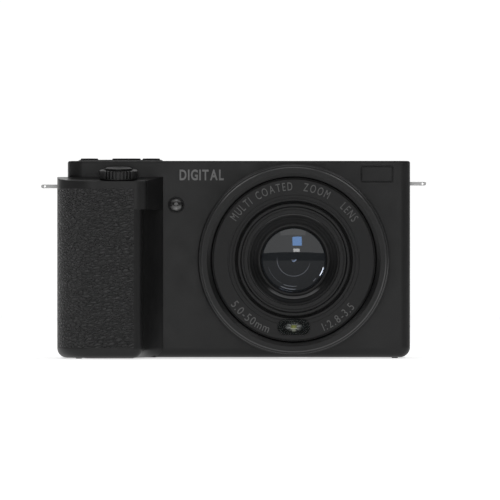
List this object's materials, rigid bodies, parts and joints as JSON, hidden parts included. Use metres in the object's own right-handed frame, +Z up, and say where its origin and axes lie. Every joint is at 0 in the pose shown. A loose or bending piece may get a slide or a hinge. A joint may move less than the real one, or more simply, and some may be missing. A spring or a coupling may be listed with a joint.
{
  "type": "compact digital camera",
  "caption": "Compact digital camera with a hand grip, zoom lever, retracting zoom lens inside a control ring, rear screen and keys, a side port door and a battery door.",
  "frame": {"origin": "middle of the camera's bounding box seen from above, on the surface that its feet stand on", "axes": "+Z up, +X to the right as seen from the front (strap lug to strap lug), the lens looks along -Y"},
  "size_m": [0.1296, 0.044, 0.0671],
  "materials": {
    "body_black": "black moulded plastic with a very fine satin texture",
    "grip_plastic": "smooth black rubberised plastic",
    "grip_leatherette": "black moulded leather grain",
    "ring_black": "black satin anodised ring with fine flutes",
    "lens_black": "black satin lens parts",
    "key_black": "black keys, slightly darker than the body",
    "lens_glass": "coated optical glass",
    "window_black": "dark infrared window",
    "lamp_lens": "moulded lens of the assist lamp",
    "flash_glass": "dark lamp window",
    "reflector": "metallised reflector",
    "led_yellow": "yellow-green phosphor",
    "lug_steel": "plain bright steel",
    "steel": "stamped steel",
    "spring_steel": "drawn steel wire",
    "board_green": "circuit board with solder mask",
    "sensor": "sensor cover glass",
    "battery_wrap": "printed battery wrap without lettering",
    "card_black": "memory card shell",
    "screen": "dark display panel",
    "screen_glass": "black-edged cover glass",
    "foot_rubber": "rubber",
    "status_lamp": "smoked light guide",
    "thumb_rubber": "soft black rubber",
    "mesh_black": "black capsule metal"
  },
  "bodies": {
    "camera_body": {"front_cover": "body_black", "rear_cover": "body_black", "top_cover": "body_black", "grip_shell": "grip_plastic", "grip_leatherette": "grip_leatherette", "thumb_rest": "thumb_rubber", "chassis_frame": "steel", "tripod_bush": "steel", "feet": "foot_rubber", "strap_lugs": "lug_steel", "case_screws": "steel", "battery_box": "card_black", "battery": "battery_wrap", "memory_card": "card_black", "main_board": "board_green", "usb_socket": "lug_steel", "hdmi_socket": "lug_steel", "lcd_panel": "screen", "lcd_cover_glass": "screen_glass", "rear_key_board": "board_green", "top_key_board": "board_green", "status_lamp": "status_lamp", "speaker": "mesh_black", "microphones": "mesh_black", "af_lamp_bezel": "lens_black", "af_lamp_lens": "lamp_lens", "front_window": "window_black", "lens_collar": "lens_black", "lens_base_tube": "lens_black", "lens_face_ring": "lens_black", "flash_window": "flash_glass", "flash_reflector": "reflector", "flash_led": "led_yellow", "image_sensor": "sensor", "sensor_board": "board_green", "rear_lens": "lens_glass", "zoom_motor": "steel", "shutter_switch": "card_black", "shutter_spring": "spring_steel"},
    "shutter_button": {"shutter_button": "key_black"},
    "zoom_lever": {"zoom_lever_ring": "key_black"},
    "power_button": {"power_button": "key_black"},
    "record_button": {"record_button": "key_black"},
    "mode_button": {"mode_button": "key_black"},
    "control_ring": {"control_ring": "ring_black"},
    "cam_ring": {"cam_ring": "lens_black"},
    "motor_pinion": {"motor_pinion": "steel"},
    "barrel_1": {"lens_barrel_1": "lens_black"},
    "barrel_2": {"lens_barrel_2": "lens_black", "front_lens_bezel": "lens_black", "front_lens": "lens_glass", "inner_lens": "lens_glass", "iris_unit": "lens_black"},
    "battery_door": {"battery_door": "body_black"},
    "battery_door_latch": {"battery_door_latch": "key_black"},
    "port_door": {"port_door": "body_black"},
    "nav_pad": {"nav_pad": "key_black"},
    "ok_button": {"ok_button": "key_black"},
    "menu_button": {"menu_button": "key_black"},
    "play_button": {"play_button": "key_black"}
  },
  "joints": [
    {"name": "shutter_press", "type": "slide", "parent": "camera_body", "child": "shutter_button", "axis": [0, 0.1132, -0.9936], "range_m": [0, 0.0008], "stiffness_N_per_m": 400, "deforming": ["shutter_spring"]},
    {"name": "zoom_lever_turn", "type": "hinge", "parent": "camera_body", "child": "zoom_lever", "pos_m": [-0.03837, -0.015, 0.05995], "axis": [0, -0.1132, 0.9936], "range_deg": [-20, 20], "stiffness_Nm_per_rad": 0.02},
    {"name": "power_press", "type": "slide", "parent": "camera_body", "child": "power_button", "axis": [0, 0, -1], "range_m": [0, 0.0005], "stiffness_N_per_m": 400},
    {"name": "record_press", "type": "slide", "parent": "camera_body", "child": "record_button", "axis": [0, 0, -1], "range_m": [0, 0.0005], "stiffness_N_per_m": 400},
    {"name": "mode_press", "type": "slide", "parent": "camera_body", "child": "mode_button", "axis": [0, 0, -1], "range_m": [0, 0.0005], "stiffness_N_per_m": 400},
    {"name": "control_ring_turn", "type": "hinge", "parent": "camera_body", "child": "control_ring", "pos_m": [0.02009, -0.008, 0.03309], "axis": [0, -1, 0], "continuous": true},
    {"name": "cam_turn", "type": "hinge", "parent": "camera_body", "child": "cam_ring", "pos_m": [0.02009, -0.008, 0.03309], "axis": [0, -1, 0], "range_deg": [0, 120]},
    {"name": "barrel_1_slide", "type": "slide", "parent": "camera_body", "child": "barrel_1", "axis": [0, -1, 0], "range_m": [0, 0.012]},
    {"name": "barrel_2_slide", "type": "slide", "parent": "barrel_1", "child": "barrel_2", "axis": [0, -1, 0], "range_m": [0, 0.01]},
    {"name": "pinion_turn", "type": "hinge", "parent": "camera_body", "child": "motor_pinion", "pos_m": [-0.00203, -0.008, 0.0176], "axis": [0, -1, 0], "continuous": true},
    {"name": "battery_door_hinge", "type": "hinge", "parent": "camera_body", "child": "battery_door", "pos_m": [-0.0491, -0.0017, 0.00115], "axis": [0, 1, 0], "range_deg": [0, 95]},
    {"name": "battery_latch_slide", "type": "slide", "parent": "battery_door", "child": "battery_door_latch", "axis": [-1, 0, 0], "range_m": [0, 0.0015]},
    {"name": "port_door_hinge", "type": "hinge", "parent": "camera_body", "child": "port_door", "pos_m": [0.05845, 0.00705, 0.032], "axis": [0, 0, 1], "range_deg": [0, 100]},
    {"name": "nav_press", "type": "slide", "parent": "camera_body", "child": "nav_pad", "axis": [0, -1, 0], "range_m": [0, 0.0004], "stiffness_N_per_m": 400},
    {"name": "ok_press", "type": "slide", "parent": "camera_body", "child": "ok_button", "axis": [0, -1, 0], "range_m": [0, 0.0004], "stiffness_N_per_m": 400},
    {"name": "menu_press", "type": "slide", "parent": "camera_body", "child": "menu_button", "axis": [0, -1, 0], "range_m": [0, 0.0004], "stiffness_N_per_m": 400},
    {"name": "play_press", "type": "slide", "parent": "camera_body", "child": "play_button", "axis": [0, -1, 0], "range_m": [0, 0.0004], "stiffness_N_per_m": 400}
  ],
  "couplings": [
    {"joint": "cam_turn", "follows": "barrel_1_slide", "rad_per_m": 174.53},
    {"joint": "barrel_2_slide", "follows": "barrel_1_slide", "ratio": 0.83333},
    {"joint": "pinion_turn", "follows": "barrel_1_slide", "rad_per_m": -1396.3}
  ]
}
